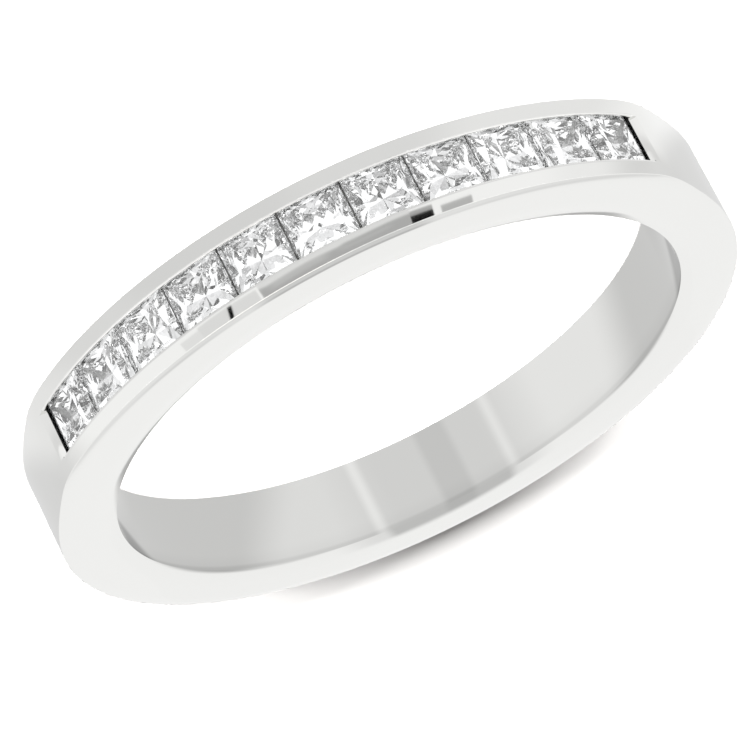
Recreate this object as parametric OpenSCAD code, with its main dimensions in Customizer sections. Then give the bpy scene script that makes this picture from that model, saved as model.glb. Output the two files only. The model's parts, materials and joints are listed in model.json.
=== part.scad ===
// Channel set band with a row of princess cut stones, lying on its side.
// Millimetres. +Z is the bore's axis, the ring rests on the side face at z = 0,
// and the middle of the stone row faces -Y.

/* [Band] */
// Inside diameter, where the finger goes
finger_d = 17.3; // [16.5:0.1:19]
// Width of the band from side face to side face
band_w = 2.6; // [2.5:0.05:3]
// Thickness of the metal at the back of the shank and at the middle of the head
shank_t = 1.75; // [1.65:0.05:2]
// Bevel along the outer edges of both side faces
edge_bevel = 0.12; // [0.05:0.01:0.15]
// Bevel along both edges of the bore
bore_bevel = 0.06; // [0.04:0.01:0.15]

/* [Head] */
// How far behind the bore's axis the head's flatter arc is centred
head_setback = 0.5; // [0.4:0.05:0.6]
// Radius of the arc from each shoulder down to the shank, as a share of the shank's radius
shoulder_share = 1.31; // [1.3:0.01:1.33]

/* [Stones] */
// Number of stones in the row
stone_count = 11; // [7:2:11]
// Width of a square stone
stone_w = 1.8; // [1.7:0.02:1.86]
// Gap between the girdles of two neighbours
stone_gap = 0.05; // [0.03:0.01:0.08]
// Table width as a share of the stone's width
table_share = 0.68; // [0.6:0.01:0.74]
// Height of the crown, from the girdle to the table
crown_h = 0.17; // [0.12:0.01:0.2]
// Thickness of the girdle
girdle_h = 0.05; // [0.03:0.01:0.08]

/* [Channel] */
// Width of the opening between the two lips
opening_w = 1.5; // [1.36:0.02:1.56]
// How far the tables lie below the outside of the metal
table_drop = 0.09; // [0.06:0.01:0.12]
// Clearance between a stone and the metal that holds it
seat_gap = 0.03; // [0.02:0.005:0.05]
// Gap between each end stone and the end of the channel
end_gap = 0.1; // [0.04:0.01:0.14]
// Length of the bright-cut ramp at each end of the channel
ramp_l = 0.24; // [0.16:0.02:0.3]
// Depth of the ramp where it meets the channel
ramp_drop = 0.16; // [0.1:0.02:0.24]

/* [Hidden] */
// Pavilion facet rows from the girdle down: slope in degrees, and where the row
// ends, measured from the stone's axis as a share of half its width
SLOPE = 0;
REACH = 1;
PAVILION = [[62, 0.80], [54, 0.62], [45, 0.42], [38, 0]];
// The crown's facets break at this share of its width and of its height
CROWN_BREAK_OUT = 0.45;
CROWN_BREAK_UP = 0.6;
ROWS = len(PAVILION);
// A stone's points stand in rings of four, one for each side, counted from the
// table down. The keel's rings have the pavilion's rows, and the last is the culet.
SIDES = 4;
TABLE = 0;
CROWN_BREAK = 1;
GIRDLE_TOP = 2;
GIRDLE = 3;
KEEL = 4;
KEEL_END = KEEL + ROWS - 2;
CULET = (KEEL_END + 1) * SIDES;
// Metal between the end of a ramp and the shoulder
RAMP_LAND = 0.04;
// Sides of a circle, and how far a cut runs past the metal
ROUND = 96;
OVER = 1;

bore_r = finger_d / 2;
shank_r = bore_r + shank_t;
head_r = shank_r + head_setback;
shoulder_r = shank_r * shoulder_share;
half_w = stone_w / 2;

// Levels along a stone's axis, measured from the centre of the head's arc
table_at = head_r - table_drop;
girdle_top_at = table_at - crown_h;
girdle_at = girdle_top_at - girdle_h;
pavilion_h = row_depth(ROWS - 1);

// Angles along the row, about the centre of the head's arc
pitch = 2 * asin((stone_w + stone_gap) / 2 / girdle_at);
channel_half = stone_count * pitch / 2 + arc_angle(end_gap);
ramp_end = channel_half + arc_angle(ramp_l);
shoulder_at = ramp_end + arc_angle(RAMP_LAND);
shoulder = head_r * [sin(shoulder_at), cos(shoulder_at)] - [0, head_setback];
shoulder_centre = sqrt(shoulder_r ^ 2 - shoulder.y ^ 2) - shoulder.x;

// A square stone's corners stand this far above the middle of its side, on the arc
corner_rise = sqrt(girdle_top_at ^ 2 + half_w ^ 2) - girdle_top_at;

function arc_angle(length) = length / head_r * 180 / PI;

// Depth of the keel below the girdle at the end of pavilion row n
function reach_before(n) = n == 0 ? 1 : PAVILION[n - 1][REACH];
function row_drop(n) = half_w * (reach_before(n) - PAVILION[n][REACH]) * tan(PAVILION[n][SLOPE]);
function row_depth(n) = row_drop(n) + (n == 0 ? 0 : row_depth(n - 1));

function stone_name(n) = str("stone_", n < 10 ? "0" : "", n);

// A disc as wide as the band, with both of its rims bevelled
module bevelled_disc(r) {
    rotate_extrude($fn = ROUND)
        polygon([
            [0, 0], [r - edge_bevel, 0], [r, edge_bevel],
            [r, band_w - edge_bevel], [r - edge_bevel, band_w], [0, band_w]
        ]);
}

// The head: a flatter arc that ends in two shoulders, from which the outline
// falls back to the shank. It is cut off at the widest point of the ring.
module head_blank() {
    intersection() {
        translate([0, head_setback, 0]) bevelled_disc(head_r);
        translate([-shoulder_centre, 0, 0]) bevelled_disc(shoulder_r);
        translate([shoulder_centre, 0, 0]) bevelled_disc(shoulder_r);
        translate([-2 * shank_r, -4 * shank_r, -OVER])
            cube([4 * shank_r, 4 * shank_r, band_w + 2 * OVER]);
    }
}

// Finger bore with a bevel at each mouth
module bore() {
    mouth_r = bore_r + bore_bevel + OVER;
    translate([0, 0, -OVER])
        cylinder(r = bore_r, h = band_w + 2 * OVER, $fn = ROUND);
    translate([0, 0, -OVER])
        cylinder(r1 = mouth_r, r2 = bore_r, h = bore_bevel + OVER, $fn = ROUND);
    translate([0, 0, band_w - bore_bevel])
        cylinder(r1 = bore_r, r2 = mouth_r, h = bore_bevel + OVER, $fn = ROUND);
}

// The channel: an opening between two lips, undercut seats for the girdles and a
// floor that follows the pavilions. The lips' undersides follow the crowns.
module channel() {
    lip_z = opening_w / 2;
    seat_z = half_w + seat_gap;
    crown_slope = crown_h / (half_w * (1 - table_share));
    seat_roof = girdle_top_at + corner_rise + seat_gap;
    lip_under = seat_roof + (seat_z - lip_z) * crown_slope;
    half_profile = concat(
        [[head_r + OVER, lip_z], [lip_under, lip_z], [seat_roof, seat_z]],
        [[girdle_at - seat_gap, seat_z]],
        [for (n = [0 : ROWS - 1])
            [girdle_at - row_depth(n) - seat_gap, half_w * PAVILION[n][REACH] + seat_gap]]
    );
    other_half = [for (i = [len(half_profile) - 1 : -1 : 0])
        [half_profile[i].x, -half_profile[i].y]];
    rotate([0, 0, -90 - channel_half])
        rotate_extrude(angle = 2 * channel_half, $fn = ROUND)
            polygon(concat(half_profile, other_half));
}

// Bright-cut ramp from the end of the channel up to the outside of the head
module ramp() {
    rotate([0, 0, channel_half])
        translate([0, -head_r, 0])
            linear_extrude(opening_w, center = true)
                polygon([[-ramp_l, ramp_drop], [0, ramp_drop], [ramp_l, 0],
                    [ramp_l, -OVER], [-ramp_l, -OVER]]);
}

// Shank, head and both channel walls, cast as one piece of white metal
module band() {
    color([0.86, 0.87, 0.86])
    difference() {
        union() {
            bevelled_disc(shank_r);
            head_blank();
        }
        bore();
        translate([0, head_setback, band_w / 2]) {
            channel();
            ramp();
            mirror([1, 0, 0]) ramp();
        }
    }
}

// A point turned by quarter turns about the stone's axis
function quarter(p, side) = [
    [p.x, p.y, p.z], [-p.y, p.x, p.z], [-p.x, -p.y, p.z], [p.y, -p.x, p.z]
][side];
function ring_of(p) = [for (side = [0 : SIDES - 1]) quarter(p, side)];

// Princess cut stone with its table up and the girdle's lower edge at z = 0.
// Each side of the crown has four facets round a break in its middle. Each side of the
// pavilion has a keel down its middle, and chevron facets that run from it to the corners.
module princess_cut() {
    table = half_w * table_share;
    break_out = table + (half_w - table) * CROWN_BREAK_OUT;
    table_z = girdle_h + crown_h;
    points = concat(
        ring_of([-table, -table, table_z]),
        ring_of([0, -break_out, girdle_h + crown_h * CROWN_BREAK_UP]),
        ring_of([-half_w, -half_w, girdle_h]),
        ring_of([-half_w, -half_w, 0]),
        [for (n = [0 : ROWS - 2])
            each ring_of([0, -half_w * PAVILION[n][REACH], -row_depth(n)])],
        [[0, 0, -pavilion_h]]
    );
    faces = concat(
        [[for (side = [SIDES - 1 : -1 : 0]) at(TABLE, side)]],
        [for (side = [0 : SIDES - 1])
            each concat(crown_side(side), girdle_side(side), pavilion_side(side))]
    );
    polyhedron(points, faces);
}

// Facets of one side, from its own corner a to the next corner b, seen from outside
function at(ring, side) = ring * SIDES + side % SIDES;
function crown_side(a) = let (b = a + 1) [
    [at(TABLE, a), at(TABLE, b), at(CROWN_BREAK, a)],
    [at(TABLE, a), at(CROWN_BREAK, a), at(GIRDLE_TOP, a)],
    [at(TABLE, b), at(GIRDLE_TOP, b), at(CROWN_BREAK, a)],
    [at(GIRDLE_TOP, a), at(CROWN_BREAK, a), at(GIRDLE_TOP, b)]
];
function girdle_side(a) = let (b = a + 1) [
    [at(GIRDLE_TOP, a), at(GIRDLE_TOP, b), at(GIRDLE, b), at(GIRDLE, a)]
];
function pavilion_side(a) = let (b = a + 1) concat(
    [[at(GIRDLE, a), at(GIRDLE, b), at(KEEL, a)]],
    [for (ring = [KEEL : KEEL_END - 1]) each [
        [at(GIRDLE, a), at(ring, a), at(ring + 1, a)],
        [at(GIRDLE, b), at(ring + 1, a), at(ring, a)]
    ]],
    [[at(GIRDLE, a), at(KEEL_END, a), CULET], [at(GIRDLE, b), CULET, at(KEEL_END, a)]]
);

// Stone n of the row, counted from the -X end, with its table outwards
module stone(n) {
    angle = (n - (stone_count + 1) / 2) * pitch;
    color([0.9, 0.94, 0.97])
    translate([0, head_setback, band_w / 2])
        rotate([0, 0, angle])
            translate([0, -girdle_at, 0])
                rotate([90, 0, 0])
                    princess_cut();
}

band();
for (n = [1 : stone_count])
    stone(n);
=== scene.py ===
"""A channel set band with a row of princess cut stones, lying on its side on a pale table."""

import json
from math import atan2, cos, degrees, radians, sin, sqrt

import bpy
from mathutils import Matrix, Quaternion, Vector


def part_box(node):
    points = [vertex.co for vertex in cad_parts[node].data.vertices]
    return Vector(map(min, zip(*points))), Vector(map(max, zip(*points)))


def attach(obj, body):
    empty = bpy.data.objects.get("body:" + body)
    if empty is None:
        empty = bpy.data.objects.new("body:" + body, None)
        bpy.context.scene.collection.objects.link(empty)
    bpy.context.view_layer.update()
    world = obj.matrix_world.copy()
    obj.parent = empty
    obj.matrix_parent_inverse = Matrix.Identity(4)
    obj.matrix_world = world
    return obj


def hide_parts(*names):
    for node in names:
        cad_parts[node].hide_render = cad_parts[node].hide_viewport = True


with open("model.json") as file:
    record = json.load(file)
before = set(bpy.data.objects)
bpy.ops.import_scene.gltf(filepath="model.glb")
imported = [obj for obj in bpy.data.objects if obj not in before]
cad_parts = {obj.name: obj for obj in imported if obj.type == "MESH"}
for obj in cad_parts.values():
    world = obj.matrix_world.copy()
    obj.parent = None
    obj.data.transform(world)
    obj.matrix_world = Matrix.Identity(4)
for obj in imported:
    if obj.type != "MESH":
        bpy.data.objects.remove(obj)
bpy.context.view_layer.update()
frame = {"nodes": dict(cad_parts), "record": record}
bpy.ops.object.select_all(action="DESELECT")

# The band is one casting of white gold: a round shank, a flatter head that ends in
# two soft shoulders, and the two walls of the channel. The caster's seams are filed
# off and the whole piece is polished, which leaves its edges slightly round.
MM = 0.001
FINGER_R = frame["record"]["mounts"][0]["dims"]["r_mm"] * MM
BAND_LOW, BAND_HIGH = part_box("band")
BAND_W = BAND_HIGH.z - BAND_LOW.z
MID_Z = (BAND_LOW.z + BAND_HIGH.z) / 2
SHANK_R = BAND_HIGH.y
# The head's arc is centred behind the bore's axis. At this angle to each side an arc of
# the shoulder's radius takes over, and falls back to the shank. Both corners are soft.
HEAD_SETBACK = 0.5 * MM
HEAD_R = HEAD_SETBACK - BAND_LOW.y
SHOULDER_AT = radians(57.1)
SHOULDER_R = 1.31 * SHANK_R
SHOULDER_SOFT = 0.12 * MM
SHANK_SOFT = 0.08 * MM
# Every rim is first rounded evenly, then spread this far across the side face and made
# this shallow. The outer rims also have a very small rounding at their edge.
ROUND_RIM = 0.3 * MM
RIM_ACROSS = 0.40 * MM
RIM_DOWN = 0.04 * MM
RIM_EDGE = 0.02 * MM
BORE_ACROSS = 0.75 * MM
BORE_DOWN = 0.065 * MM
# Width of the channel's opening, and how far its two long edges are rounded
OPENING = 1.5 * MM
LIP_SOFT = 0.06 * MM
BAND_SIDES = 720
# Loops of edges beside each rounded edge keep the flats between them flat.
BORE_LOOP = 0.82 * MM
RIM_LOOP = 0.54 * MM
RIM_LEVEL = 0.31 * MM
LIP_LEVEL = OPENING / 2 + LIP_SOFT + 0.03 * MM
# Two points less than the first length apart count as one place, and two points less
# than the second apart count as close.
SAME = 0.001 * MM
CLOSE = 0.01 * MM


def softer_of(a, b, soft):
    """The smaller of two radii, with the corner between them rounded off."""
    near = max(0, 1 - abs(a - b) / soft)
    return min(a, b) - soft / 4 * near ** 2


def outline_radius(angle):
    """Radius of the outside about the bore's axis, at an angle from the head's middle."""
    side, front = abs(sin(angle)), cos(angle)
    tip_x = HEAD_R * sin(SHOULDER_AT)
    tip_y = HEAD_R * cos(SHOULDER_AT) - HEAD_SETBACK
    centre = sqrt(SHOULDER_R ** 2 - tip_y ** 2) - tip_x
    head = sqrt(HEAD_R ** 2 - (HEAD_SETBACK * side) ** 2) - HEAD_SETBACK * front
    shoulder = sqrt(SHOULDER_R ** 2 - (centre * front) ** 2) - centre * side
    crown = softer_of(head, shoulder, SHOULDER_SOFT)
    if abs(angle) < atan2(tip_x, tip_y):
        return crown
    return -softer_of(-crown, -SHANK_R, SHANK_SOFT) if front > 0 else SHANK_R


def bore_angle(point):
    """Angle of a point about the bore's axis, from the middle of the head."""
    return atan2(point.x, -point.y)


bpy.ops.mesh.primitive_circle_add(vertices=BAND_SIDES, radius=FINGER_R)
band = bpy.context.object
band.name = "polished_band"
bpy.ops.object.mode_set(mode="EDIT")
bpy.ops.mesh.select_all(action="SELECT")
radius = FINGER_R
for wider in (FINGER_R + BORE_LOOP, SHANK_R - RIM_LOOP, SHANK_R):
    bpy.ops.mesh.extrude_region_move()
    bpy.ops.transform.resize(value=(wider / radius, wider / radius, 1))
    radius = wider
bpy.ops.object.mode_set(mode="OBJECT")
for corner in band.data.vertices:
    if corner.co.xy.length > (FINGER_R + SHANK_R) / 2:
        corner.co.xy *= outline_radius(bore_angle(corner.co)) / SHANK_R
bpy.ops.object.mode_set(mode="EDIT")
bpy.ops.mesh.select_all(action="SELECT")
level = 0
for higher in (RIM_LEVEL, MID_Z - LIP_LEVEL, MID_Z - OPENING / 2, MID_Z + OPENING / 2,
               MID_Z + LIP_LEVEL, BAND_W - RIM_LEVEL, BAND_W):
    bpy.ops.mesh.extrude_region_move(TRANSFORM_OT_translate={"value": (0, 0, higher - level)})
    level = higher
bpy.ops.mesh.select_all(action="SELECT")
bpy.ops.mesh.normals_make_consistent(inside=False)


def round_edges(piece, wanted, width, segments):
    """Rounds the level edges of a piece in edit mode whose two ends are both wanted."""
    bpy.ops.mesh.select_mode(type="EDGE")
    bpy.ops.mesh.select_all(action="DESELECT")
    bpy.ops.object.mode_set(mode="OBJECT")
    for edge in piece.data.edges:
        ends = [piece.data.vertices[i].co for i in edge.vertices]
        is_level = abs(ends[0].z - ends[1].z) < SAME
        edge.select = is_level and all(wanted(end) for end in ends)
    bpy.ops.object.mode_set(mode="EDIT")
    bpy.ops.mesh.bevel(offset=width, segments=segments, affect="EDGES")


def below_side_face(point):
    """How far a point lies inside the nearer side face."""
    return min(point.z, BAND_W - point.z)


def outer_across(point):
    """How far a point lies inside the outline."""
    return outline_radius(bore_angle(point)) - point.xy.length


def bore_across(point):
    """How far a point lies outside the bore."""
    return point.xy.length - FINGER_R


def reshape_rim(across_of, inwards, width, down, edge):
    """Spreads a round rim and makes it shallow, with a round edge a third as deep as wide."""
    bpy.ops.object.mode_set(mode="OBJECT")
    for corner in band.data.vertices:
        across, drop = max(0, across_of(corner.co)), below_side_face(corner.co)
        if across > ROUND_RIM + CLOSE or drop > RIM_LEVEL + CLOSE:
            continue
        wider = across * width / ROUND_RIM
        new_drop = down * max(0, 1 - wider / width) ** 2 + max(0, drop - ROUND_RIM)
        if wider < edge:
            new_drop += edge / 3 * (1 - sqrt(1 - (1 - wider / edge) ** 2))
        corner.co.xy *= 1 + inwards * (wider - across) / corner.co.xy.length
        corner.co.z = new_drop if corner.co.z < BAND_W / 2 else BAND_W - new_drop
    bpy.ops.object.mode_set(mode="EDIT")


for across_of, inwards, width, down, edge in (
        (outer_across, -1, RIM_ACROSS, RIM_DOWN, RIM_EDGE),
        (bore_across, 1, BORE_ACROSS, BORE_DOWN, 0)):
    def on_rim(point):
        """Whether a point is on either side face's rim."""
        return below_side_face(point) < SAME and across_of(point) < CLOSE

    round_edges(band, on_rim, ROUND_RIM, segments=10)
    reshape_rim(across_of, inwards, width, down, edge)
bpy.ops.object.mode_set(mode="OBJECT")


def finish_modifier(piece, kind, **settings):
    """Adds a modifier to a piece and applies it."""
    modifier = piece.modifiers.new(kind.lower(), kind)
    for name, value in settings.items():
        setattr(modifier, name, value)
    bpy.ops.object.select_all(action="DESELECT")
    bpy.context.view_layer.objects.active = piece
    piece.select_set(True)
    bpy.ops.object.modifier_apply(modifier=modifier.name)


# The channel is milled across the head: an opening between two lips, with seats
# undercut behind the lips for the girdles and a floor that follows the stones.
# The lips' edges are softened when they are burnished down over the stones.
STONES = [node for name, node in frame["nodes"].items() if name.startswith("stone_")]
MIDDLE_LOW, MIDDLE_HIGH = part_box("stone_06")
STONE_HALF = (MIDDLE_HIGH.x - MIDDLE_LOW.x) / 2
STONE_GAP = 0.05 * MM
TABLE_R = HEAD_SETBACK - MIDDLE_LOW.y
CROWN = 0.17 * MM
GIRDLE = 0.05 * MM
GIRDLE_R = TABLE_R - CROWN - GIRDLE
SEAT_GAP = 0.03 * MM
END_GAP = 0.1 * MM
PITCH = 2 * atan2(STONE_HALF + STONE_GAP / 2, GIRDLE_R)
CHANNEL_HALF = len(STONES) * PITCH / 2 + END_GAP / HEAD_R
# The undercut begins at the first of these heights above the girdles' lower edges, and
# has its full width from the second down.
LIP_UNDER = 0.22 * MM
SEAT_ROOF = 0.12 * MM
# Depth below the girdle, and half the stone's width there, in millimetres
PAVILION = ((0, 0.90), (0.34, 0.72), (0.56, 0.56), (0.74, 0.38), (1.04, 0))
# Corners that differ by less than this angle are in one column.
SAME_TURN = radians(0.01)

section = [(GIRDLE_R + LIP_UNDER, OPENING / 2), (GIRDLE_R + SEAT_ROOF, STONE_HALF + SEAT_GAP)]
section += [(GIRDLE_R - depth * MM - SEAT_GAP, half * MM + SEAT_GAP) for depth, half in PAVILION]


def head_point(out, turn, up):
    """A point of the head: out from its centre, turned along the row, up from mid width."""
    return Vector((out * sin(turn), HEAD_SETBACK - out * cos(turn), MID_Z + up))


def head_turn(point):
    """Angle of a point along the row, about the head's centre."""
    return atan2(point.x, HEAD_SETBACK - point.y)


def head_out(point):
    """Distance of a point from the head's centre."""
    return (point.xy - Vector((0, HEAD_SETBACK))).length


# The nearest columns of corners move along the head to the channel's two ends.
outside = [corner.co for corner in band.data.vertices if corner.co.xy.length > SHANK_R - RIM_LOOP]
columns = [abs(head_turn(point)) for point in outside]
end_column = min(columns, key=lambda turn: abs(turn - CHANNEL_HALF))
for point in outside:
    turn = head_turn(point)
    if abs(abs(turn) - end_column) < SAME_TURN:
        point.xy = head_point(head_out(point), CHANNEL_HALF if turn > 0 else -CHANNEL_HALF, 0).xy

bpy.ops.object.mode_set(mode="EDIT")
bpy.ops.mesh.select_mode(type="FACE")
bpy.ops.mesh.select_all(action="DESELECT")
bpy.ops.object.mode_set(mode="OBJECT")
for face in band.data.polygons:
    in_row = abs(face.center.z - MID_Z) < OPENING / 2 and abs(head_turn(face.center)) < CHANNEL_HALF
    face.select = in_row and head_out(face.center) > HEAD_R - CLOSE
bpy.ops.object.mode_set(mode="EDIT")
for out, up in section:
    bpy.ops.mesh.extrude_region_move()
    bpy.ops.object.mode_set(mode="OBJECT")
    for corner in band.data.vertices:
        if corner.select:
            corner.co = head_point(out, head_turn(corner.co), up if corner.co.z > MID_Z else -up)
    bpy.ops.object.mode_set(mode="EDIT")


def on_lip(point):
    """Whether a point is on one of the opening's two long edges."""
    along = abs(head_turn(point)) < CHANNEL_HALF + SAME_TURN and head_out(point) > HEAD_R - CLOSE
    return along and abs(abs(point.z - MID_Z) - OPENING / 2) < SAME


round_edges(band, on_lip, LIP_SOFT, segments=4)
bpy.ops.mesh.select_all(action="SELECT")
bpy.ops.mesh.normals_make_consistent(inside=False)
bpy.ops.object.mode_set(mode="OBJECT")

# Each end of the channel has a bright cut: a short ramp from the end stone up to
# the outside of the head, cut with a graver.
RAMP_L = 0.24 * MM
RAMP_DROP = 0.16 * MM
GRAVER_TOP = 1 * MM
for end in (-1, 1):
    end_turn = end * CHANNEL_HALF
    to_shank = end * Vector((cos(end_turn), sin(end_turn), 0))
    bpy.ops.mesh.primitive_cube_add(size=1)
    graver = bpy.context.object
    for corner in graver.data.vertices:
        at_shank = corner.co.x > 0
        above = GRAVER_TOP if corner.co.y > 0 else (0 if at_shank else -2 * RAMP_DROP)
        up = OPENING / 2 if corner.co.z > 0 else -OPENING / 2
        along = RAMP_L if at_shank else -RAMP_L
        corner.co = head_point(HEAD_R + above, end_turn, up) + along * to_shank
    bpy.ops.object.mode_set(mode="EDIT")
    bpy.ops.mesh.select_all(action="SELECT")
    bpy.ops.mesh.normals_make_consistent(inside=False)
    bpy.ops.object.mode_set(mode="OBJECT")
    finish_modifier(band, "BOOLEAN", operation="DIFFERENCE", object=graver, solver="EXACT")
    bpy.data.objects.remove(graver)

bpy.ops.object.select_all(action="DESELECT")
band.select_set(True)
bpy.context.view_layer.objects.active = band
bpy.ops.object.shade_smooth_by_angle(angle=radians(45))
finish_modifier(band, "WEIGHTED_NORMAL", keep_sharp=True, weight=90, mode="FACE_AREA")


class Signal:
    """One output in a material's node tree. Python's operators on it add Math nodes."""

    def __init__(self, tree, socket):
        self.tree = tree
        self.socket = socket

    def node(self, kind, settings, inputs, output=0):
        """Adds a node, makes its settings, then fills its sockets, and gives one output."""
        made = self.tree.nodes.new(kind)
        for name, value in settings.items():
            setattr(made, name, value)
        for name, value in inputs.items():
            if isinstance(value, Signal):
                self.tree.links.new(value.socket, made.inputs[name])
            else:
                made.inputs[name].default_value = value
        return Signal(self.tree, made.outputs[output]) if made.outputs else None

    def math(self, operation, first, second=0):
        """Adds a Math node."""
        return self.node("ShaderNodeMath", {"operation": operation}, {0: first, 1: second})

    def __add__(self, other):
        return self.math("ADD", self, other)

    def __sub__(self, other):
        return self.math("SUBTRACT", self, other)

    def __rsub__(self, other):
        return self.math("SUBTRACT", other, self)

    def __mul__(self, other):
        return self.math("MULTIPLY", self, other)

    def __truediv__(self, other):
        return self.math("DIVIDE", self, other)

    def __pow__(self, other):
        return self.math("POWER", self, other)

    def __abs__(self):
        return self.math("ABSOLUTE", self)

    __radd__ = __add__
    __rmul__ = __mul__


def new_finish(name):
    """A material, and the object's own coordinates to paint it by."""
    finish = bpy.data.materials.new(name)
    finish.use_nodes = True
    tree = finish.node_tree
    tree.nodes.clear()
    place = Signal(tree, tree.nodes.new("ShaderNodeTexCoord").outputs["Object"])
    return finish, place


def surface_of(place, inputs):
    """Ends a finish: its Principled shader, wired to the output."""
    shader = place.node("ShaderNodeBsdfPrincipled", {}, inputs)
    place.node("ShaderNodeOutputMaterial", {}, {"Surface": shader})


# The polish is a mirror with very faint clouds, about 3 mm across.
white_gold, place = new_finish("white_gold")
cloud = place.node("ShaderNodeTexNoise", {}, {"Vector": place, "Scale": 300.0, "Detail": 3.0})
surface_of(place, {
    "Base Color": (0.80, 0.80, 0.785, 1),
    "Metallic": 1.0,
    "Roughness": 0.035 + cloud * 0.03,
})
band.data.materials.append(white_gold)


# A limit past every value that a finish works out
NO_LIMIT = 99


def band_of(value, low, high, soft):
    """1 where a value lies between two limits, with soft ends, and 0 elsewhere."""
    def rise(start):
        return value.node("ShaderNodeMapRange", {"interpolation_type": "SMOOTHSTEP"}, {
            "Value": value, "From Min": start - soft / 2, "From Max": start + soft / 2})
    return rise(low) - rise(high)


def mix_of(share, first, second):
    """A colour between two others. The Mix node's colours are its inputs 6 and 7."""
    return share.node("ShaderNodeMix", {"data_type": "RGBA"}, {0: share, 6: first, 7: second},
                      output=2)


def in_millimetres(place):
    """The three parts of a place, in millimetres."""
    spot = place.node("ShaderNodeVectorMath", {"operation": "SCALE"}, {0: place, "Scale": 1 / MM})
    return [spot.node("ShaderNodeSeparateXYZ", {}, {0: spot}, output=part) for part in "XYZ"]


def angle_of(side, front):
    """Angle of a place, in degrees from the front."""
    return side.math("ARCTAN2", side, front) * degrees(1)


# The lips are polished down to this depth. Below it the channel keeps the grey, dull skin
# that the cutter left. Past this angle along the row lie its two ends, where shade is
# painted into the colour: they are painted nearly black.
LIP_DEPTH = 0.1 * MM
PAINTED_SHADE_FROM = 53.0
PAINTED_SHADE_SOFT = 1.0
END_SLACK = radians(0.1)
cut_gold_with_painted_shade, place = new_finish("cut_gold_with_painted_shade")
across, back = in_millimetres(place)[:2]
row_turn = angle_of(abs(across), HEAD_SETBACK / MM - back)
# Painted shade: both ends of the channel are made nearly black in the base colour.
painted_end_shade = band_of(row_turn, PAINTED_SHADE_FROM, NO_LIMIT, PAINTED_SHADE_SOFT)
grit = place.node("ShaderNodeTexNoise", {}, {"Vector": place, "Scale": 9000.0, "Detail": 2.0})
surface_of(place, {
    "Base Color": mix_of(painted_end_shade, (0.58, 0.58, 0.57, 1), (0.06, 0.06, 0.06, 1)),
    "Metallic": 1.0,
    "Roughness": 0.25 + grit * 0.2,
})
band.data.materials.append(cut_gold_with_painted_shade)
FLOOR_R = section[-1][0]
for face in band.data.polygons:
    centre = face.center
    in_channel = abs(head_turn(centre)) < CHANNEL_HALF + END_SLACK and centre.y < 0
    under_lip = FLOOR_R - CLOSE < head_out(centre) < HEAD_R - LIP_DEPTH
    inside = abs(centre.z - MID_Z) < STONE_HALF + 2 * SEAT_GAP
    if in_channel and under_lip and inside:
        face.material_index = 1
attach(band, "root")
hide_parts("band")

# Eleven square cut diamonds lie side by side in the channel. They are cut and polished
# from clear stone, the lips hold them down by their girdles, and nothing shows between
# them but their joints.
diamond, place = new_finish("diamond")
surface_of(place, {
    "Base Color": (0.99, 0.995, 1, 1),
    "Roughness": 0.0,
    "IOR": 2.417,
    "Transmission Weight": 1.0,
})
for stone in STONES:
    stone.data.materials.clear()
    stone.data.materials.append(diamond)

# The table top is a plain pale sheet.
bpy.ops.mesh.primitive_plane_add(size=2)
floor = bpy.context.object
floor.name = "floor"
paper, place = new_finish("pale_paper")
surface_of(place, {"Base Color": (0.71, 0.70, 0.69, 1), "Roughness": 0.9})
floor.data.materials.append(paper)

# Glowing boards stand round the ring, and only reflections see them: a sheet under its
# foot, a paper sleeve in its bore, a card close behind it, a board high behind it and two
# cards overhead. The stones see the sheet too. Left and right are as seen from the row.


def light_board(board, name, brightness, through_stones=False):
    """Makes a mesh a glowing board that only reflections see, and the stones if told so."""
    board.name = name
    board.visible_camera = False
    board.visible_diffuse = False
    board.visible_transmission = through_stones
    board.visible_shadow = False
    finish, place = new_finish(name)
    light = place.node("ShaderNodeEmission", {}, {"Strength": brightness(place)})
    place.node("ShaderNodeOutputMaterial", {}, {"Surface": light})
    board.data.materials.append(finish)


# The sheet lies just above the table. The head's wall reflects it in rings about a point
# at RINGS_Y. The ring that shows at the wall's foot has the inner radius, and each
# millimetre up the wall shows one a step wider, in millimetres. The angle about that
# point is TURN_SHARE times the angle along the row where it shows.
SHEET_R = 60 * MM
SHEET_Z = 0.02 * MM
RINGS_Y = -1.377
RINGS_INNER = 8.872
RINGS_STEP = 2.237
TURN_SHARE = 1.509
SHEET_TONE = 0.85
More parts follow.
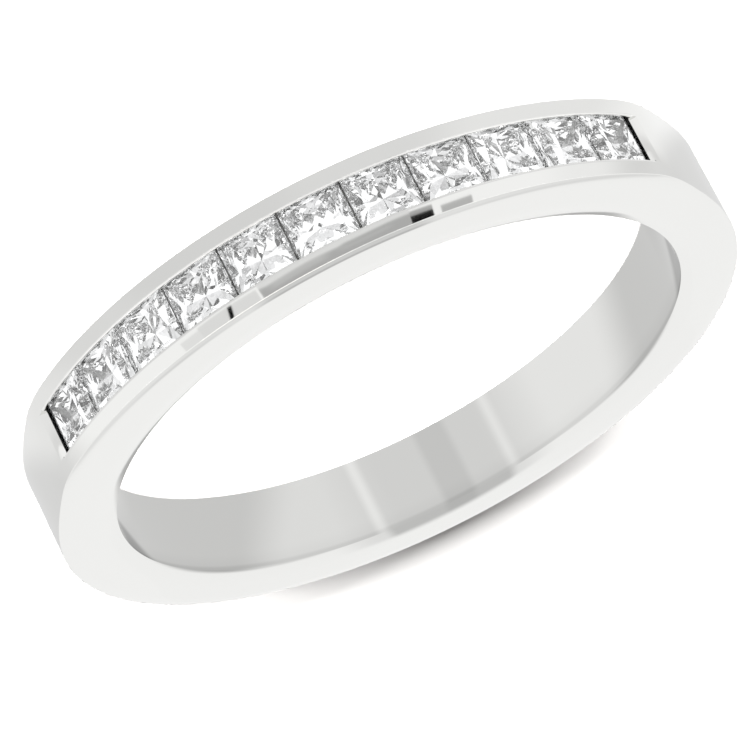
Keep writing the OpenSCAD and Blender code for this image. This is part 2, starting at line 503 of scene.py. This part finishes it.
# Cards on the sheet: the angles along the row where one starts and ends, in degrees, and
# the softness of those two edges, then its lowest and highest height on the wall, in
# millimetres, and their softness, and how much it changes the tone. What is higher than
# the wall lies further out on the sheet.
CARDS = (
    # Light behind the whole head, past its near rim
    (-46.0, 50.0, 10.0, 2.08, 9.0, 0.10, 0.24),
    (-50.0, -35.0, 8.0, 2.08, 9.0, 0.10, -0.07),
    # Wide soft patches on the head's wall
    (-56.0, -18.0, 10.0, -9.0, 1.6, 0.60, 0.11),
    (38.0, 56.0, 10.0, -9.0, 1.6, 0.60, 0.10),
    (2.0, 24.0, 8.0, -9.0, 1.0, 0.60, -0.05),
    (-56.0, -42.0, 8.0, -9.0, 1.6, 0.60, 0.10),
    # The walls past the shoulders, and the back of the shank
    (58.0, 200.0, 10.0, -9.0, 9.0, 0.60, -0.08),
    (80.0, 200.0, 18.0, -9.0, 9.0, 0.60, -0.15),
    (-200.0, -58.0, 10.0, -9.0, 9.0, 0.60, -0.05),
    (-200.0, -80.0, 18.0, -9.0, 9.0, 0.60, -0.11),
    (108.0, 200.0, 8.0, 1.0, 99.0, 1.0, 0.48),
    (-200.0, -108.0, 8.0, 1.0, 99.0, 1.0, 0.44),
    # Narrow cards that show along the rim of the head
    (-12.0, 11.6, 0.3, 2.08, 2.24, 0.06, -0.20),
    (-12.0, 11.6, 0.3, 2.24, 9.0, 0.07, -0.59),
    (-1.5, 11.0, 1.5, 2.22, 2.29, 0.05, 0.20),
    (1.0, 10.0, 2.5, 2.29, 2.45, 0.06, 0.10),
    (-9.0, -1.0, 2.0, 2.33, 2.42, 0.05, 0.06),
    (12.0, 22.0, 0.3, 2.20, 9.0, 0.04, -0.23),
    (22.0, 25.4, 0.3, 2.26, 9.0, 0.05, -0.18),
    (-15.4, -12.0, 0.2, 2.20, 9.0, 0.05, -0.62),
    (-15.4, -12.0, 0.2, 2.34, 9.0, 0.03, -0.46),
    (-21.4, -16.6, 0.3, 2.32, 9.0, 0.06, -0.54),
)
# The cards' level edges wave a little: how far they rise, and how fast with the angle.
WAVE_RISE = 0.015
WAVE_RATE = 0.45
# A narrow dark slit leans over the cards. It passes this angle at this height, and leans
# by so many degrees for each millimetre up.
SLIT_TURN = 16.7
SLIT_HEIGHT = 2.4
SLIT_LEAN = 1.8
SLIT_HALF = 0.35
SLIT_SIDES_SOFT = 0.2
SLIT_LOW = 2.22
SLIT_HIGH = 9.0
SLIT_ENDS_SOFT = 0.04
SLIT_DARK = 0.88


def sheet_tones(place):
    """Brightness of the sheet round the ring's foot."""
    across, back = in_millimetres(place)[:2]
    front = RINGS_Y - back
    turn = angle_of(across, front) / TURN_SHARE
    height = ((across * across + front * front) ** 0.5 - RINGS_INNER) / RINGS_STEP
    height = height + turn.math("SINE", turn * WAVE_RATE) * WAVE_RISE
    tone = SHEET_TONE
    for left, right, side_edge, low, high, edge, change in CARDS:
        card = band_of(height, low, high, edge) * band_of(turn, left, right, side_edge)
        tone = tone + card * change
    leaning = turn - (height - SLIT_HEIGHT) * SLIT_LEAN
    slit = band_of(leaning, SLIT_TURN - SLIT_HALF, SLIT_TURN + SLIT_HALF, SLIT_SIDES_SOFT)
    return tone - band_of(height, SLIT_LOW, SLIT_HIGH, SLIT_ENDS_SOFT) * slit * SLIT_DARK


bpy.ops.mesh.primitive_circle_add(vertices=96, radius=SHEET_R, fill_type="NGON",
                                  location=(0, 0, SHEET_Z))
light_board(bpy.context.object, "foot_sheet", sheet_tones, through_stones=True)

# The sleeve stands just clear of the bore. Its own coordinates are counted from the
# height of its middle, in millimetres.
SLEEVE_R = 8.61 * MM
SLEEVE_H = 2.48 * MM
SLEEVE_MID = 1.28
SLEEVE_TONE = 0.70
# Its stripes: the angles from the back of the bore where one starts and ends and the
# softness of its edges, in degrees, how far it leans, in degrees for each millimetre up,
# and how much it changes the tone.
STRIPES = (
    (-80.0, -19.0, 16.0, 0.0, 0.26),
    (-80.0, -48.0, 14.0, 2.0, -0.26),
    (-19.0, 16.0, 10.0, 0.0, 0.08),
    (16.0, 80.0, 14.0, 0.0, 0.18),
    (36.0, 80.0, 14.0, 4.0, -0.18),
    (-5.8, 0.5, 2.0, 0.0, -0.10),
    (-15.6, -13.8, 2.2, 0.0, 0.14),
    (13.0, 15.0, 2.0, 0.0, 0.16),
)
# It is darker above each of these heights: the height, its softness and how much.
SLEEVE_TOPS = ((2.18, 0.5, 0.04), (2.4, 0.12, 0.1))
# Both of its sides have a dark upper corner. Its edge passes this height at the back and
# comes down by so much for each degree round the bore.
CORNER_FROM = 9.75
CORNER_LEAN = 0.1
CORNER_SOFT = 0.5
CORNER_DARK = 0.22


def sleeve_tones(place):
    """Brightness of the paper sleeve in the bore."""
    across, back, up = in_millimetres(place)
    turn = angle_of(across, back)
    height = up + SLEEVE_MID
    tone = SLEEVE_TONE
    for left, right, soft, lean, change in STRIPES:
        tone = tone + band_of(turn - up * lean, left, right, soft) * change
    for low, soft, darker in SLEEVE_TOPS:
        tone = tone - band_of(height, low, NO_LIMIT, soft) * darker
    corner = band_of(height + abs(turn) * CORNER_LEAN, CORNER_FROM, NO_LIMIT, CORNER_SOFT)
    return tone - corner * CORNER_DARK


bpy.ops.mesh.primitive_cylinder_add(vertices=180, radius=SLEEVE_R, depth=SLEEVE_H,
                                    end_fill_type="NOTHING", location=(0, 0, SLEEVE_MID * MM))
light_board(bpy.context.object, "bore_sleeve", sleeve_tones)

# The card close behind the ring has a dark middle and two dark sides, which show only in
# the soft rim of the bore. It stands this far behind the bore's axis, with its middle at
# this height, in millimetres.
CARD_BACK = 10.2
CARD_MID = 5.0
CARD_H = 4 * MM
CARD_WIDER = 4.4
CARD_TONE = 1.05
# Shades of its middle: where one starts and ends across the card, its softness, and how
# much darker it is. They lie between these two heights, in a strip that bends up.
MIDDLE_SHADES = ((-2.08, 1.86, 0.4, 0.26), (-0.85, 0.1, 0.3, 0.06), (-2.9, 2.9, 1.6, 0.17))
STRIP_LOW = -1.85
STRIP_HIGH = -0.7
STRIP_SOFT = 0.4
STRIP_BEND = 0.035
# Shades of its sides: how far out one starts, its softness, and how much darker it is.
SIDE_SHADES = ((1.9, 0.5, 0.28), (5.6, 1.2, 0.27))
# They lie between two arcs round the bore's axis, which widen by a share of the way out.
# The arcs are drawn where a flat side face would show them to a view of this slope.
VIEW_SLOPE = 0.431
ARC_INNER = 5.2
ARC_OUTER = 6.35
ARC_SOFT = 0.6
ARC_WIDEN = 0.13
# A slanting cut ends them above. It passes this height at the middle of the card.
CUT_AT = -2.07
CUT_SLOPE = 0.55
CUT_SOFT = 0.1


def rim_card_tones(place):
    """Brightness of the card behind the ring."""
    across, along = in_millimetres(place)[:2]
    off_middle = abs(across)
    seen_back = CARD_BACK - (along + CARD_MID - BAND_W / MM) / VIEW_SLOPE
    seen_r = (across * across + seen_back * seen_back) ** 0.5
    strip = band_of(along - across * across * STRIP_BEND, STRIP_LOW, STRIP_HIGH, STRIP_SOFT)
    arc = band_of(seen_r - off_middle * ARC_WIDEN, ARC_INNER, ARC_OUTER, ARC_SOFT)
    arc = arc * band_of(along - off_middle * CUT_SLOPE, -NO_LIMIT, CUT_AT, CUT_SOFT)
    tone = CARD_TONE
    for left, right, soft, darker in MIDDLE_SHADES:
        tone = tone - strip * band_of(across, left, right, soft) * darker
    for start, soft, darker in SIDE_SHADES:
        tone = tone - arc * band_of(off_middle, start, NO_LIMIT, soft) * darker
    return tone


bpy.ops.mesh.primitive_plane_add(size=CARD_H, location=(0, CARD_BACK * MM, CARD_MID * MM),
                                 rotation=(radians(90), 0, 0))
for corner in bpy.context.object.data.vertices:
    corner.co.x *= CARD_WIDER
light_board(bpy.context.object, "rim_card", rim_card_tones)

# The high board faces the ring from behind. It is dark in a fan that opens upwards from
# a point below its middle, and lighter at both sides, at its top and at its foot. The
# places on it are in millimetres from its middle.
BOARD_FAR = 0.2
BOARD_UP = radians(49)
BOARD_SIZE = 140 * MM
BOARD_TONE = 0.45
FAN_FOOT = 111
FAN_MIDDLE = -4
FAN_SLOPE = 0.145
FAN_SOFT = 0.05
FAN_CHANGE = 0.43
# Upright shades on it: where one starts and ends, its softness, and how much darker it is
BOARD_SHADES = ((-NO_LIMIT, -18, 10, 0.06), (12, 24, 12, 0.12))
# Its light top and foot: where one starts and ends, its softness, its tone, and its share
BOARD_ENDS = ((-38, NO_LIMIT, 24, 1.02, 0.5), (-NO_LIMIT, -52, 22, 1.05, 1))


def board_tones(place):
    """Brightness of the high board."""
    across, along = in_millimetres(place)[:2]
    fan = abs(across - FAN_MIDDLE) / (along + FAN_FOOT)
    tone = BOARD_TONE + band_of(fan, FAN_SLOPE, NO_LIMIT, FAN_SOFT) * FAN_CHANGE
    for left, right, soft, darker in BOARD_SHADES:
        tone = tone - band_of(across, left, right, soft) * darker
    for low, high, soft, end_tone, share in BOARD_ENDS:
        tone = tone + (end_tone - tone) * band_of(along, low, high, soft) * share
    return tone


bpy.ops.mesh.primitive_plane_add(
    size=BOARD_SIZE, location=(0, BOARD_FAR * cos(BOARD_UP), BOARD_FAR * sin(BOARD_UP)),
    rotation=(BOARD_UP + radians(90), 0, 0))
light_board(bpy.context.object, "high_board", board_tones)

# The two cards overhead, one at each side, light the channel's edges.
OVERHEAD_FAR = 0.2
OVERHEAD_SIZE = 150 * MM
OVERHEAD_TONE = 1.25
for name, side in (("left_card", -1), ("right_card", 1)):
    towards = Vector((side * 0.62, -0.1, 0.78))
    bpy.ops.mesh.primitive_plane_add(size=OVERHEAD_SIZE, location=OVERHEAD_FAR * towards,
                                     rotation=towards.to_track_quat("Z", "Y").to_euler())
    light_board(bpy.context.object, name, lambda place: OVERHEAD_TONE)

# The room is evenly white. Rays inside the stones see it brighter, most of all in front,
# and the table is lit by only a tenth of it, so that the lamps' shadow shows.
ROOM_TONE = 1.06
FRONT_TONE = 1.3
BACK_TONE = 1.1
TABLE_SHARE = 0.1
scene = bpy.context.scene
scene.view_settings.view_transform = "Standard"
scene.cycles.max_bounces = 40
scene.cycles.glossy_bounces = 40
scene.cycles.transmission_bounces = 40
scene.world = bpy.data.worlds.new("studio")
scene.world.use_nodes = True
room = scene.world.node_tree
room.nodes.clear()
way = Signal(room, room.nodes.new("ShaderNodeTexCoord").outputs["Generated"])
to_back = way.node("ShaderNodeSeparateXYZ", {}, {0: way}, output="Y")
glow = way.node("ShaderNodeMapRange", {"interpolation_type": "SMOOTHSTEP"}, {
    "Value": to_back, "From Min": -0.3, "From Max": 0.8, "To Min": FRONT_TONE, "To Max": BACK_TONE})
ray = room.nodes.new("ShaderNodeLightPath")
on_table = Signal(room, ray.outputs["Is Diffuse Ray"])
in_stone = Signal(room, ray.outputs["Is Transmission Ray"])
strength = (ROOM_TONE + (glow - ROOM_TONE) * in_stone) * (1 - on_table * (1 - TABLE_SHARE))
studio = way.node("ShaderNodeBackground", {}, {"Color": (1, 1, 1, 1), "Strength": strength})
way.node("ShaderNodeOutputWorld", {}, {"Surface": studio})


def softbox(name, place, width, height, power, shine=True):
    """A soft lamp that points at the ring."""
    lamp = bpy.data.objects.new(name, bpy.data.lights.new(name, "AREA"))
    scene.collection.objects.link(lamp)
    lamp.data.shape = "RECTANGLE"
    lamp.data.size = width
    lamp.data.size_y = height
    lamp.data.energy = power
    lamp.location = place
    lamp.rotation_euler = (-Vector(place)).to_track_quat("-Z", "Y").to_euler()
    lamp.visible_glossy = shine
    lamp.visible_transmission = shine
    return lamp


# A weak and slightly warm lamp hangs overhead.
overhead = softbox("overhead", (0.05, 0.02, 0.30), width=0.12, height=0.12, power=0.05)
overhead.data.color = (1, 0.93, 0.86)
# Two low strips in front throw the soft shadow behind the ring.
LAMP_FAR = 0.3
LAMP_UP = radians(15.8)
LAMP_TURN = radians(20.6)
for name, side in (("left_strip", -1), ("right_strip", 1)):
    towards = Vector((side * cos(LAMP_UP) * sin(LAMP_TURN), -cos(LAMP_UP) * cos(LAMP_TURN),
                      sin(LAMP_UP)))
    softbox(name, LAMP_FAR * towards, width=0.02, height=0.05, power=4.8, shine=False)
# A narrow spot straight above keeps the table white inside the ring.
snoot = bpy.data.objects.new("snoot", bpy.data.lights.new("snoot", "SPOT"))
scene.collection.objects.link(snoot)
snoot.data.energy = 1.2
snoot.data.shadow_soft_size = 2 * MM
snoot.data.spot_size = radians(7.5)
snoot.data.spot_blend = 0.1
snoot.location = (0, 0, 0.15)
snoot.visible_glossy = False

# The camera stands at the photograph's angle to the ring, turned about its line of
# sight as the photograph is, with a long lens.
CAMERA_UP = radians(23.3)
CAMERA_TURN = radians(-0.8)
CAMERA_ROLL = radians(153.05)
CAMERA_FAR = 168.36 * MM
AIM = Vector((0.363, 0.6, 1.3)) * MM
camera = bpy.data.objects.new("camera", bpy.data.cameras.new("camera"))
scene.collection.objects.link(camera)
scene.camera = camera
camera.data.lens = 288
camera.data.sensor_width = 36
camera.data.clip_start = 1 * MM
to_camera = Vector((-cos(CAMERA_UP) * sin(CAMERA_TURN), -cos(CAMERA_UP) * cos(CAMERA_TURN),
                    sin(CAMERA_UP)))
camera.location = AIM + CAMERA_FAR * to_camera
facing = (-to_camera).to_track_quat("-Z", "Y")
camera.rotation_euler = (facing @ Quaternion((0, 0, 1), CAMERA_ROLL)).to_euler()
